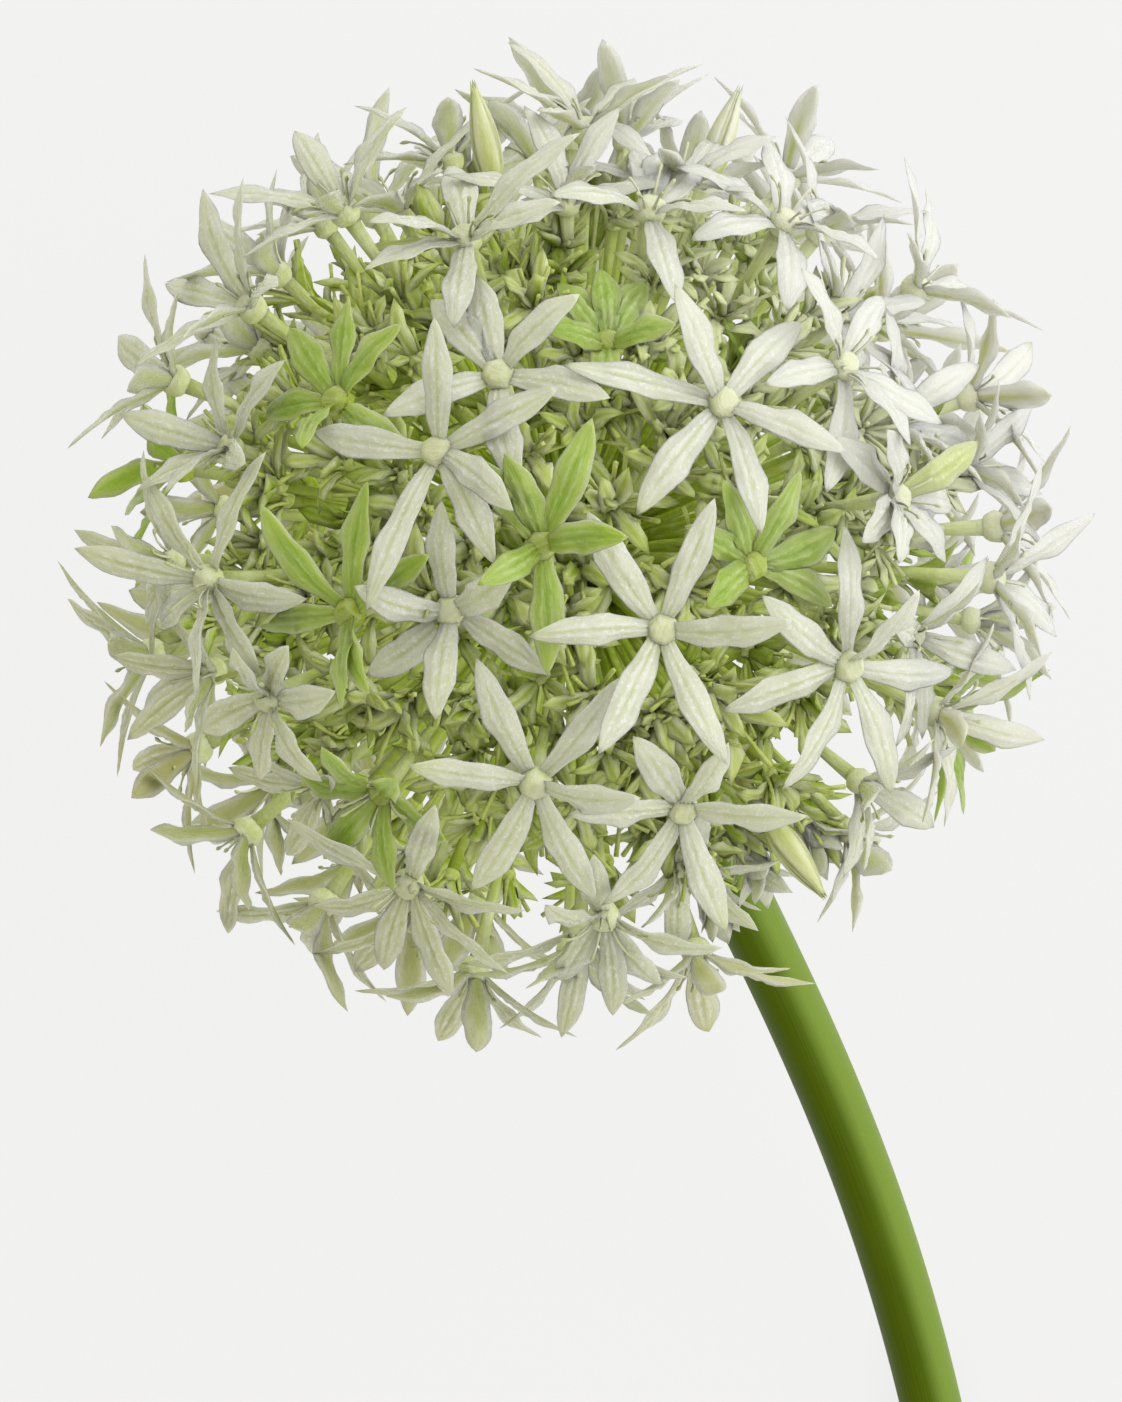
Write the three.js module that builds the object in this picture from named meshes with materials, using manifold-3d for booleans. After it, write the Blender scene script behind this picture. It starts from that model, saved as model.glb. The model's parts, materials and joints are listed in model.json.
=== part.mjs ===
// Ornamental garlic flower head, picked and laid down: a ball of six-petalled florets, each on
// its own thin stalk, carried by a smooth cut stem. It rests on its lowest petal tips and on
// the cut end of the stem. Millimetres, +Z up; the stem runs from the ball towards -Y.
import * as THREE from "three";
import { mergeVertices } from "three/addons/utils/BufferGeometryUtils.js";
import Module from "manifold-3d";

const wasm = await Module();
wasm.setup();

// Driving dimensions: millimetres, and degrees for angles.
const headHeight = 49.5; // middle of the ball above the surface that it lies on
const whiteReach = 47; // middle of the ball to where the petals of an open floret join
const greenReach = 43.5; // the same for the younger, green florets
const budReach = 42.5; // and for the closed ones
const floretCount = 58;
const petalLength = 15;
const petalWidth = 4.2;
const petalThickness = 0.55;
const petalBow = 0.9; // how far the middle of a petal stands out of the line to its tip
const ovaryRadius = 1.6;
const ovaryHeight = 2.1;
const pedicelRadius = 0.55;
const receptacleRadius = 6;
const receptacleFoot = 6.6; // middle of the ball down to the top of the stem
const stemRadius = 3.6;
const gap = 0.3; // kept between separate pieces
const openCup = 17; // a petal's rise above the plane across its stalk
const edgeCup = 27; // the same for the florets around the rim of the ball
const budLength = 12; // a closed floret, from the top of its stalk to its tip
const budRadius = 1.8;
const steepestCup = 48;
const flattestCup = -8;
const stemClearance = 34; // no floret's stalk is closer to the stem's direction than this
const usualSpacing = 22; // between the stalks of two neighbours
const restingDepth = 3; // the lowest florets' petals join at least this far above the surface

// Where the stem's middle line runs, from the middle of the ball: x, y and the drop below it.
const stemRoute = [
  [2.6, -5.6, 2.9],
  [12, -25.5, 13.2],
  [22.2, -45.8, 23],
  [27.6, -57.7, 28.6],
  [32.6, -69.8, 33.4],
  [37, -81.9, 37.7],
  [40.7, -94, 41.3],
  [43.4, -105.5, 44.1],
  [45.6, -117, 45.9],
];

// The florets on the upper side. bearing is a direction seen from above, counter-clockwise from
// +X, and tilt is the stalk's angle from straight up. lift moves the floret out along its stalk,
// and length is that of its petals. petals holds a bearing and a reach, both seen from above, for
// each petal, and its own length if that differs; without it, six petals stand evenly around.
const upperFlorets = [
  {
    bearing: 144, tilt: 21,
    petals: [[91, 13.7], [28, 13.9], [170, 13.4], [246, 17.8], [-63, 12.9], [-38, 10]],
  },
  {
    bearing: 113, tilt: 24, length: 12.6,
    petals: [[45, 11.8], [101, 8.6], [137, 7], [202, 12.3], [-80, 11.5], [-11, 11.6]],
  },
  {
    bearing: 109, tilt: 46,
    petals: [[43, 16.3], [20, 10.5], [-97, 9.4], [198, 10.9], [169, 9.9], [100, 6]],
  },
  {
    bearing: 44, tilt: 27,
    petals: [[112, 13], [46, 12.3], [169, 17.3], [232, 14.8], [-74, 14], [-22, 13.5]],
  },
  {
    bearing: 77, tilt: 50, length: 13,
    petals: [[172, 10.5], [-79, 11.5], [-2, 10], [102, 7.5], [72, 7.5], [40, 6]],
  },
  {
    bearing: 57, tilt: 60, length: 13.5,
    petals: [[-94, 10.6], [100, 10], [152, 12.9], [191, 10], [-22, 10.6], [28, 6.4]],
  },
  {
    bearing: 34, tilt: 46, length: 13.5,
    petals: [[57, 9.2], [194, 8.6], [115, 11], [-106, 14.4], [-51, 10.8], [-28, 12.3]],
  },
  {
    bearing: 9, tilt: 46, length: 11.5,
    petals: [[33, 11], [136, 9], [93, 6.8], [-8, 6.5], [-50, 8.9], [230, 6.1], [-88, 6.8]],
  },
  {
    bearing: -42, tilt: 15,
    petals: [[68, 14.5], [122, 14.2], [183, 13.5], [243, 14.3], [-64, 15.4], [4, 13.5]],
  },
  {
    bearing: -23, tilt: 41,
    petals: [[91, 14.5], [141, 11.8], [198, 14.1], [242, 14.6], [-70, 14.5], [-4, 11.9], [49, 10.7]],
  },
  {
    bearing: -99, tilt: 31, length: 14.5,
    petals: [[114, 14.4], [172, 13.2], [240, 13.3], [-63, 13.9], [-7, 10.9], [53, 14.2]],
  },
  {
    bearing: -67, tilt: 38, length: 14,
    petals: [[124, 9.1], [56, 8.3], [-4, 13], [-70, 14.2], [232, 13.5], [176, 11.4]],
  },
  {
    bearing: -175, tilt: 54,
    petals: [[123, 13.2], [57, 15.6], [167, 15.2], [-10, 10.7], [-94, 11.7], [-60, 11.3], [220, 8]],
  },
  {
    bearing: -154, tilt: 48, length: 11,
    petals: [[207, 8.8], [-100, 9.3], [-59, 10.4], [66, 6], [125, 6.3], [5, 7]],
  },
  {
    bearing: -116, tilt: 56, length: 14.5,
    petals: [[71, 9.2], [152, 14.5], [196, 11.1], [-12, 12.5], [-42, 14.2], [-107, 10.6], [-71, 13.2]],
  },
  {
    bearing: -85, tilt: 55, length: 13,
    petals: [[-85, 11.4], [-120, 9], [-16, 12.9], [-53, 10.3], [165, 6.4], [100, 6]],
  },
  {
    bearing: -153, tilt: 19, lift: -4.5, length: 12.6,
    petals: [[95, 11.3], [175, 7.7], [-98, 11.4], [-33, 12.2], [35, 8], [220, 7]],
  },
  {
    bearing: 173, tilt: 4, kind: "green", lift: 2, length: 13.6,
    petals: [[68, 14], [137, 10.5, 11.5], [112, 10, 11], [5, 9], [215, 11.7, 12], [-87, 13.3]],
  },
  {
    bearing: -164, tilt: 33, kind: "green", length: 14.5,
    petals: [[130, 14.6], [82, 13.8], [185, 11], [250, 8.5], [285, 8.5], [20, 8]],
  },
  {
    bearing: 148, tilt: 41, kind: "green", length: 11.5,
    petals: [[124, 9.8], [86, 11], [50, 10.6], [190, 8], [250, 7], [330, 8]],
  },
  {
    bearing: 80, tilt: 29, kind: "green", length: 10,
    petals: [[60, 8], [95, 8.5], [130, 8], [20, 7], [165, 7], [270, 5]],
  },
  {
    bearing: -5, tilt: 25, kind: "green", length: 11.5,
    petals: [[62, 11], [22, 10], [100, 9], [150, 8], [230, 7], [330, 8]],
  },
  { bearing: -128, tilt: 47, kind: "green", length: 11, turn: 25 },
  { bearing: 37, tilt: 80, turn: 10 },
  { bearing: 21, tilt: 86, turn: 40, kind: "young" },
  { bearing: -4, tilt: 72, turn: 5 },
  { bearing: 3, tilt: 91, turn: 25, kind: "young" },
  { bearing: -24, tilt: 66, turn: 35, kind: "young" },
  { bearing: 88, tilt: 75, turn: 12, kind: "young" },
  { bearing: 102, tilt: 70, kind: "bud", turn: 0 },
  { bearing: 124, tilt: 66, turn: 28 },
  { bearing: 143, tilt: 64, turn: 50 },
  { bearing: 60, tilt: 95, turn: 15 },
  { bearing: 70, tilt: 79, kind: "bud", turn: 30 },
  { bearing: 157, tilt: 80, turn: 20 },
  { bearing: 168, tilt: 94, kind: "green", turn: 0 },
  { bearing: -166, tilt: 88, turn: 45 },
  { bearing: -152, tilt: 90, kind: "young", turn: 20 },
  { bearing: -139, tilt: 82, turn: 0 },
  { bearing: -125, tilt: 84, turn: 40 },
  { bearing: -103, tilt: 85, turn: 15 },
  { bearing: -54, tilt: 57, kind: "bud", turn: 10 },
];

const reachOf = { white: whiteReach, young: whiteReach - 0.8, green: greenReach, bud: budReach };
const surfaceOf = {
  white: { color: 0xe9eadd, roughness: 0.42 },
  young: { color: 0xdcdfb4, roughness: 0.45 },
  green: { color: 0x9fbd58, roughness: 0.45 },
  bud: { color: 0xb9cb7d, roughness: 0.48 },
  receptacle: { color: 0x7f9a3c, roughness: 0.6 },
  stem: { color: 0x6c8a1e, roughness: 0.5 },
};

const head = new THREE.Vector3(0, 0, headHeight);
const up = new THREE.Vector3(0, 0, 1);
const degrees = THREE.MathUtils.degToRad;

function material(kind) {
  return new THREE.MeshStandardMaterial({ ...surfaceOf[kind], metalness: 0 });
}

// A closed geometry made into a solid that can be joined and measured.
function solidFrom(geometry) {
  const bare = geometry.clone();
  bare.deleteAttribute("normal");
  bare.deleteAttribute("uv");
  const merged = mergeVertices(bare, 1e-4);
  const corners = merged.index.array;
  const kept = [];
  for (let i = 0; i < corners.length; i += 3) {
    const [a, b, c] = corners.slice(i, i + 3);
    if (a !== b && b !== c && c !== a) kept.push(a, b, c);
  }
  return new wasm.Manifold(new wasm.Mesh({
    numProp: 3,
    vertProperties: new Float32Array(merged.attributes.position.array),
    triVerts: new Uint32Array(kept),
  }));
}

function geometryFrom(solid) {
  const mesh = solid.getMesh();
  const geometry = new THREE.BufferGeometry();
  geometry.setAttribute("position", new THREE.BufferAttribute(mesh.vertProperties, 3));
  geometry.setIndex(new THREE.BufferAttribute(mesh.triVerts, 1));
  geometry.computeVertexNormals();
  return geometry;
}

// A frame at a point whose Y axis is along and whose Z axis leans towards facing.
function frameAt(point, along, facing) {
  const side = new THREE.Vector3().crossVectors(along, facing).normalize();
  const face = new THREE.Vector3().crossVectors(side, along);
  return new THREE.Matrix4().makeBasis(side, along, face).setPosition(point);
}

function directionTo(bearing, tilt) {
  const flat = Math.sin(degrees(tilt));
  return new THREE.Vector3(
    flat * Math.cos(degrees(bearing)),
    flat * Math.sin(degrees(bearing)),
    Math.cos(degrees(tilt)),
  );
}

// One petal: a three-sided spindle, flattened and bowed, with its keel on the outside.
function petalSolid(floret, petal) {
  const half = petalWidth / 2;
  const profile = [
    [0, ovaryRadius * 0.6],
    [half * 0.3, ovaryRadius * 1.4],
    [half, petal.length * 0.58],
    [0, petal.length],
  ].map(([across, along]) => new THREE.Vector2(across, along));
  const spindle = new THREE.LatheGeometry(profile, 3, Math.PI, Math.PI * 2);
  spindle.scale(1 / Math.sin(Math.PI / 3), 1, petalThickness / (petalWidth * 0.75));
  const position = spindle.attributes.position;
  for (let i = 0; i < position.count; i += 1) {
    const along = position.getY(i) / petal.length;
    position.setZ(i, position.getZ(i) + petalBow * 4 * along * (1 - along));
  }
  const direction = petalDirection(floret, petal);
  spindle.applyMatrix4(frameAt(floret.hub, direction, floret.axis));
  return solidFrom(spindle);
}

function petalDirection(floret, petal) {
  const along = petal.across.clone().multiplyScalar(Math.cos(degrees(petal.cup)));
  return along.addScaledVector(floret.axis, Math.sin(degrees(petal.cup)));
}

// The petal's plane direction across the stalk and its cup, from a bearing and a reach seen
// from above. Of the two slopes that fit, the one nearer to the floret's own cup is taken.
function petalSeenFromAbove(floret, [bearing, reach, ownLength]) {
  const length = Math.max(ownLength ?? floret.length, reach * 1.03);
  const rise = Math.sqrt(length * length - reach * reach);
  const choices = [rise, -rise].map((height) => {
    const direction = directionTo(bearing, 90).multiplyScalar(reach).addScaledVector(up, height);
    direction.divideScalar(length);
    const sine = direction.dot(floret.axis);
    const across = direction.addScaledVector(floret.axis, -sine).normalize();
    return { across, cup: THREE.MathUtils.radToDeg(Math.asin(sine)), length };
  });
  choices.sort((a, b) => Math.abs(a.cup - openCup) - Math.abs(b.cup - openCup));
  const [petal] = choices;
  petal.cup = THREE.MathUtils.clamp(petal.cup, flattestCup, steepestCup);
  return petal;
}

// Six petals evenly around the stalk, their lengths and cups a little uneven.
function petalsAround(floret) {
  const start = new THREE.Vector3().crossVectors(floret.axis, up).normalize();
  return [0, 1, 2, 3, 4, 5].map((place) => {
    const wander = Math.sin(floret.number * 2.4 + place * 4.1);
    const turn = place * 60 + floret.turn + wander * 5;
    const across = start.clone().applyAxisAngle(floret.axis, degrees(turn));
    return { across, cup: edgeCup + wander * 9, length: floret.length * 0.96 + wander * 0.9 };
  });
}

// A petal that would reach below the surface is bent outwards until its tip lies on it.
function keptAboveSurface(floret, petal) {
  const tip = floret.hub.z + petalDirection(floret, petal).z * petal.length;
  if (tip >= 0) return petal;
  const lean = Math.atan2(floret.axis.z, petal.across.z);
  const size = Math.hypot(floret.axis.z, petal.across.z);
  const turn = Math.acos(THREE.MathUtils.clamp(-floret.hub.z / (petal.length * size), -1, 1));
  const answers = [lean + turn, lean - turn].map((angle) => {
    const wrapped = Math.atan2(Math.sin(angle), Math.cos(angle));
    return THREE.MathUtils.radToDeg(wrapped);
  });
  answers.sort((a, b) => Math.abs(a - petal.cup) - Math.abs(b - petal.cup));
  return { ...petal, cup: answers[0] };
}

// The stalk and what it ends in: an ovary dome that carries the petals, or closed petals.
function coreSolid(floret) {
  const length = floret.reach - floret.start;
  const stalk = new THREE.CylinderGeometry(pedicelRadius, pedicelRadius, length, 5);
  stalk.translate(0, floret.start + length / 2, 0);
  const dome = [
    [0, -ovaryRadius * 0.8],
    [ovaryRadius, ovaryRadius * 0.1],
    [ovaryRadius * 0.8, ovaryHeight * 0.75],
    [0, ovaryHeight],
  ];
  const closedPetals = [
    [0, -budRadius * 0.2],
    [budRadius * 0.5, budLength * 0.06],
    [budRadius, budLength * 0.42],
    [budRadius * 0.62, budLength * 0.78],
    [0, budLength],
  ];
  const outline = (floret.kind === "bud" ? closedPetals : dome).map(
    ([across, along]) => new THREE.Vector2(across, along),
  );
  const ovary = new THREE.LatheGeometry(outline, 6);
  ovary.translate(0, floret.reach, 0);
  const place = frameAt(head, floret.axis, Math.abs(floret.axis.z) > 0.9 ? directionTo(0, 90) : up);
  return solidFrom(stalk.applyMatrix4(place)).add(solidFrom(ovary.applyMatrix4(place)));
}

function clearOf(solid, others) {
  return others.every((other) => solid.minGap(other, gap + 0.1) >= gap);
}

// Directions for the florets that the list above leaves out: each goes to the widest bare place.
function fillBareDirections(taken, stemDirection, count) {
  const found = [];
  const tries = 1500;
  for (let made = 0; made < count; made += 1) {
    let widest = -1;
    let best = null;
    for (let i = 0; i < tries; i += 1) {
      const height = 1 - (2 * i + 1) / tries;
      const around = i * Math.PI * (3 - Math.sqrt(5));
      const flat = Math.sqrt(1 - height * height);
      const direction = new THREE.Vector3(flat * Math.cos(around), flat * Math.sin(around), height);
      const room = Math.min(...[...taken, ...found].map((other) => direction.angleTo(other)));
      const fromStem = direction.angleTo(stemDirection) - degrees(stemClearance - usualSpacing);
      if (Math.min(room, fromStem) > widest) {
        widest = Math.min(room, fromStem);
        best = direction;
      }
    }
    found.push(best);
  }
  return found;
}

function makeStem() {
  const route = new THREE.CatmullRomCurve3(
    stemRoute.map(([x, y, drop]) => new THREE.Vector3(x, y, headHeight - drop)),
  );
  const section = new THREE.Shape().absarc(0, 0, stemRadius, 0, Math.PI * 2);
  const geometry = new THREE.ExtrudeGeometry(section, {
    steps: 22,
    curveSegments: 7,
    bevelEnabled: false,
    extrudePath: route,
  });
  geometry.computeBoundingBox();
  geometry.translate(0, 0, -geometry.boundingBox.min.z);
  return geometry;
}

function makeReceptacle(stemDirection) {
  const profile = [
    [0, -receptacleFoot + gap],
    [stemRadius, -receptacleFoot + gap],
    [receptacleRadius * 0.82, -receptacleRadius * 0.62],
    [receptacleRadius, -receptacleRadius * 0.1],
    [receptacleRadius * 0.9, receptacleRadius * 0.42],
    [receptacleRadius * 0.58, receptacleRadius * 0.8],
    [0, receptacleRadius],
  ].map(([across, along]) => new THREE.Vector2(across, along));
  const geometry = new THREE.LatheGeometry(profile, 14);
  return geometry.applyMatrix4(frameAt(head, stemDirection.clone().negate(), up));
}

const [firstX, firstY, firstDrop] = stemRoute[0];
const stemDirection = new THREE.Vector3(firstX, firstY, -firstDrop).normalize();
const stemGeometry = makeStem();
const receptacleGeometry = makeReceptacle(stemDirection);
const carriers = [solidFrom(stemGeometry), solidFrom(receptacleGeometry)];

const upperDirections = upperFlorets.map(({ bearing, tilt }) => directionTo(bearing, tilt));
const bareCount = floretCount - upperFlorets.length;
const lowerKinds = ["white", "white", "green", "white", "young"];
const lowerFlorets = fillBareDirections(upperDirections, stemDirection, bareCount).map(
  (axis, place) => ({ axis, kind: lowerKinds[place % lowerKinds.length], turn: place * 23 }),
);

// Every floret's stalk and ovary first, so that the petals can be laid between them.
const florets = [...upperFlorets, ...lowerFlorets].map((row, place) => {
  const kind = row.kind ?? "white";
  const axis = row.axis ?? directionTo(row.bearing, row.tilt);
  const floret = { kind, axis, number: place + 1, turn: row.turn ?? 0, rows: row.petals };
  floret.length = row.length ?? petalLength;
  floret.reach = reachOf[kind] + (row.lift ?? 0);
  if (axis.z < 0) floret.reach = Math.min(floret.reach, (headHeight - restingDepth) / -axis.z);
  floret.hub = head.clone().addScaledVector(axis, floret.reach);
  floret.start = receptacleRadius + gap;
  floret.core = coreSolid(floret);
  while (!clearOf(floret.core, carriers)) {
    floret.start += 0.2;
    floret.core = coreSolid(floret);
  }
  floret.solid = floret.core;
  return floret;
});

// What may be tried when a petal meets another floret: a change of cup and a turn, in degrees.
const changes = [[0, 0]];
for (const cup of [0, 5, -5, 10, -10, 16, -16, 22, 30, 38]) {
  for (const turn of [0, 6, -6, 12, -12, 18, -18]) {
    if (cup || turn) changes.push([cup, turn]);
  }
}
changes.sort((a, b) => Math.hypot(...a) - Math.hypot(...b));

for (const floret of florets.filter(({ kind }) => kind !== "bud")) {
  const others = florets.filter((other) => other !== floret && other.hub.distanceTo(floret.hub) < 40);
  const petals = floret.rows
    ? floret.rows.map((row) => petalSeenFromAbove(floret, row))
    : petalsAround(floret);
  for (const petal of petals) {
    const neighbours = [...others.map((other) => other.solid), ...carriers];
    for (const [cupChange, turn] of changes) {
      const across = petal.across.clone().applyAxisAngle(floret.axis, degrees(turn));
      const tried = keptAboveSurface(floret, { ...petal, across, cup: petal.cup + cupChange });
      const solid = petalSolid(floret, tried);
      if (solid.boundingBox().min[2] > -1e-4 && clearOf(solid, neighbours)) {
        floret.solid = floret.solid.add(solid);
        break;
      }
    }
  }
}

const flowerHead = new THREE.Group();
flowerHead.name = "garlic_flower_head";

const stem = new THREE.Mesh(stemGeometry, material("stem"));
stem.name = "stem";
const receptacle = new THREE.Mesh(receptacleGeometry, material("receptacle"));
receptacle.name = "receptacle";
flowerHead.add(stem, receptacle);

for (const floret of florets) {
  const mesh = new THREE.Mesh(geometryFrom(floret.solid), material(floret.kind));
  mesh.name = `floret_${String(floret.number).padStart(2, "0")}`;
  flowerHead.add(mesh);
}

// The origin is the middle of the footprint, on the surface.
const box = new THREE.Box3().setFromObject(flowerHead);
const middle = box.getCenter(new THREE.Vector3());
flowerHead.position.set(-middle.x, -middle.y, -box.min.z);

export default flowerHead;
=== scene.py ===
import json
import math
import bpy
import numpy as np
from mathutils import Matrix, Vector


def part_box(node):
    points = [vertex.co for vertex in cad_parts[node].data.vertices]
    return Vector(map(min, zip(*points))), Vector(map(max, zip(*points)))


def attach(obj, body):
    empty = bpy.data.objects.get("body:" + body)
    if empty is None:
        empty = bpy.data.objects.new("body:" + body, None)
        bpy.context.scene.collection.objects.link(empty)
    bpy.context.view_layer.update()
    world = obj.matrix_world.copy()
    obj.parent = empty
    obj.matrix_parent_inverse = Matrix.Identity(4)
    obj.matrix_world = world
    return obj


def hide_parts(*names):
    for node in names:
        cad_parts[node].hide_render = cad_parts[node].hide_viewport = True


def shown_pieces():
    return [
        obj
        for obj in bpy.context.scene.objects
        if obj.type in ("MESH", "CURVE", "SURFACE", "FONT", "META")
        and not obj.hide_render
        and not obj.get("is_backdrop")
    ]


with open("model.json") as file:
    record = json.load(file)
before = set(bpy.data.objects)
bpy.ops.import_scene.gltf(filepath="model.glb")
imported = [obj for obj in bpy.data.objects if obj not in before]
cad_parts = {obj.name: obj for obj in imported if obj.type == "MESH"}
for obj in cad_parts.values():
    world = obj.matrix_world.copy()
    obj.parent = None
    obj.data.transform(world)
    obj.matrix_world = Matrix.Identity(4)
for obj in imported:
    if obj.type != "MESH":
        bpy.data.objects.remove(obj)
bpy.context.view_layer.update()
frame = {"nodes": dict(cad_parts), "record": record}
mm = 0.001  # shapes are worked out in millimetres and built in metres
rng = np.random.default_rng(11)
up = np.array([0.0, 0.0, 1.0])
floorGap = 0.02  # millimetres that every piece keeps above the floor


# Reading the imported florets
reading = {
    "footWithin": 20,  # millimetres from the ball's middle, and only a stalk's foot lies there
    "longEdge": 20,  # an edge this long runs along a stalk
    "asideWeight": 3,  # how much a point's distance from the stalk's line counts against its height
    "petalReach": (8, 21),  # millimetres from the hub to a petal's tip
    # and how far each kind of floret stands up over its hub
    "topAboveHub": {"petal_white": 2.1, "petal_cream": 2.1, "petal_green": 2.1, "bud_green": 12},
}


def unit(v):
    return v / np.linalg.norm(v, axis=-1, keepdims=True)


def readNode(name):
    # a node's distinct corners in millimetres, and the pairs of them that an edge joins
    mesh = frame["nodes"][name].data
    corners = np.empty(len(mesh.vertices) * 3)
    mesh.vertices.foreach_get("co", corners)
    order = np.empty(len(mesh.loops), int)
    mesh.loops.foreach_get("vertex_index", order)
    rounded = np.round(corners.reshape(-1, 3) / mm, 3)
    distinct, where = np.unique(rounded, axis=0, return_inverse=True)
    triangles = where.reshape(-1)[order].reshape(-1, 3)
    edges = np.vstack([triangles[:, [0, 1]], triangles[:, [1, 2]], triangles[:, [2, 0]]])
    return distinct, edges


def acrossOf(axis):
    # two directions square to a line and to each other, from a third one that no stalk has
    across = unit(np.cross(axis, [0.31, 0.17, 0.93]))
    return across, np.cross(axis, across)


def stalkLine(corners, edges, middle):
    # the stalk's foot is what lies near the middle of the ball. The long edges that start there
    # give its direction, and the floret's top is the furthest point that keeps to that line
    nearMiddle = np.linalg.norm(corners - middle, axis=1) < reading["footWithin"]
    foot = corners[nearMiddle].mean(axis=0)
    sides = corners[edges[:, 1]] - corners[edges[:, 0]]
    fromFoot = nearMiddle[edges[:, 0]] & (np.linalg.norm(sides, axis=1) > reading["longEdge"])
    line = unit(unit(sides[fromFoot]).mean(axis=0))
    along = (corners - foot) @ line
    aside = np.linalg.norm(corners - foot - along[:, None] * line, axis=1)
    top = corners[np.argmax(along - reading["asideWeight"] * aside)]
    return foot, unit(top - foot), top


def meetingPoint(feet, lines):
    # the point nearest to all the lines at once, by least squares
    across = np.eye(3) - lines[:, :, None] * lines[:, None, :]
    return np.linalg.solve(across.sum(axis=0), (across @ feet[:, :, None]).sum(axis=0)[:, 0])


def petalTips(corners, edges, hub):
    # a petal's tip is further from the hub than every corner that it shares an edge with
    shortest, longest = reading["petalReach"]
    distance = np.linalg.norm(corners - hub, axis=1)
    furthest = np.ones(len(corners), bool)
    furthest[edges[distance[edges[:, 0]] < distance[edges[:, 1]], 0]] = False
    furthest[edges[distance[edges[:, 1]] < distance[edges[:, 0]], 1]] = False
    return corners[furthest & (distance > shortest) & (distance < longest)]


def readFlorets():
    slots = {part["node"]: part["material_slot"] for part in frame["record"]["subparts"]}
    low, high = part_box("receptacle")
    middle = np.array((low + high) / 2) / mm
    found = []
    for name in sorted(n for n in slots if n.startswith("floret")):
        corners, edges = readNode(name)
        foot, line, top = stalkLine(corners, edges, middle)
        floret = {"name": name, "slot": slots[name], "foot": foot, "axis": line}
        floret["hub"] = top - line * reading["topAboveHub"][floret["slot"]]
        floret["tips"] = petalTips(corners, edges, floret["hub"])
        found.append(floret)
    return found


florets = readFlorets()
heart = meetingPoint(np.array([f["foot"] for f in florets]), np.array([f["axis"] for f in florets]))
stemDirection = unit(np.array([2.6, -5.6, -2.9]))  # from the ball's middle, where the stem leaves
print("florets", len(florets), "petals", sum(len(f["tips"]) for f in florets), "middle", heart.round(2))


# Tools for shader nodes
def nodeTools(material):
    # short ways to add and join nodes in one material, or in the world
    tree = material.node_tree

    def add(kind, inputs=None, **settings):
        node = tree.nodes.new(kind)
        for key, value in settings.items():
            setattr(node, key, value)
        for key, value in (inputs or {}).items():
            if isinstance(value, bpy.types.NodeSocket):
                tree.links.new(value, node.inputs[key])
            else:
                node.inputs[key].default_value = value
        return node

    def mix(amount, first, second):
        node = add("ShaderNodeMix", data_type="RGBA")
        sockets = (node.inputs[0], node.inputs[6], node.inputs[7])  # the share, and the two colours
        for socket, value in zip(sockets, (amount, first, second)):
            if isinstance(value, bpy.types.NodeSocket):
                tree.links.new(value, socket)
            else:
                socket.default_value = value
        return node.outputs[2]

    def sums(operation, *values):
        node = add("ShaderNodeMath", operation=operation)
        for socket, value in zip(node.inputs, values):
            if isinstance(value, bpy.types.NodeSocket):
                tree.links.new(value, socket)
            else:
                socket.default_value = value
        return node.outputs[0]

    def between(value, low, high, first, second):
        node = add("ShaderNodeMapRange", {"Value": value, 1: low, 2: high, 3: first, 4: second})
        return node.outputs[0]

    return add, mix, sums, between


# Camera, floor and light
stageLook = {
    "lens": 150,
    "sensor": 36,
    "pictureSize": (1122, 1402),
    "spanAtHeart": 154.2,  # millimetres from the top to the bottom of the picture, at the ball's middle
    "heartPixel": (572, 549),  # where the ball's middle falls in it
    "floorSide": 3.0,
    "floorColour": (0.10, 0.10, 0.102, 1),
    "floorGlow": 0.787,
    "backdropColour": (0.875, 0.875, 0.87, 1),
    "brightSide": (0.84, 0.50, 0.22),  # the window's side, and the room's side lies across from it
    "roomColour": (1.0, 0.985, 0.72, 1),
    "windowColour": (1.0, 1.0, 0.985, 1),
    "worldStrength": (0.31, 1.18),  # from the room's side to the window's side
    "worldSpan": (-0.8, 0.8),  # where that change starts and ends, on the line between the two sides
    "lampPlace": (150, 95, 150),  # millimetres from the ball's middle
    "lampSide": 170,
    "lampPower": 0.10,
    "lampColour": (1, 0.99, 0.96),
    "shadeReach": 6.5,  # millimetres
}


def makeCamera(look):
    # The camera hangs straight above the ball's middle. Its distance follows from the lens and the
    # height that is seen, and it is turned a little so that the stem comes into the picture
    wide, tall = look["pictureSize"]
    span = look["spanAtHeart"] * mm
    data = bpy.data.cameras.new("camera")
    data.sensor_fit = "VERTICAL"
    data.sensor_height = look["sensor"]
    data.sensor_width = look["sensor"] * wide / tall
    data.lens = look["lens"]
    data.clip_start = 0.01
    camera = bpy.data.objects.new("camera", data)
    distance = span * look["lens"] / look["sensor"]
    aside = (wide / 2 - look["heartPixel"][0]) * span / tall
    down = (tall / 2 - look["heartPixel"][1]) * span / tall
    camera.location = heart * mm + up * distance
    camera.rotation_euler = (-math.atan2(down, distance), -math.atan2(aside, distance), 0)
    bpy.context.scene.collection.objects.link(camera)
    bpy.context.scene.camera = camera


def makeLamp(look):
    # A square lamp that faces the ball's middle, so near that its light falls off across the ball
    data = bpy.data.lights.new("windowLight", "AREA")
    data.energy = look["lampPower"]
    data.size = look["lampSide"] * mm
    data.color = look["lampColour"]
    lamp = bpy.data.objects.new("windowLight", data)
    place = np.array(look["lampPlace"], float)
    x, y, z = unit(place)
    lamp.rotation_euler = (0, math.acos(z), math.atan2(y, x))
    lamp.location = (heart + place) * mm
    bpy.context.scene.collection.objects.link(lamp)


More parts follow.
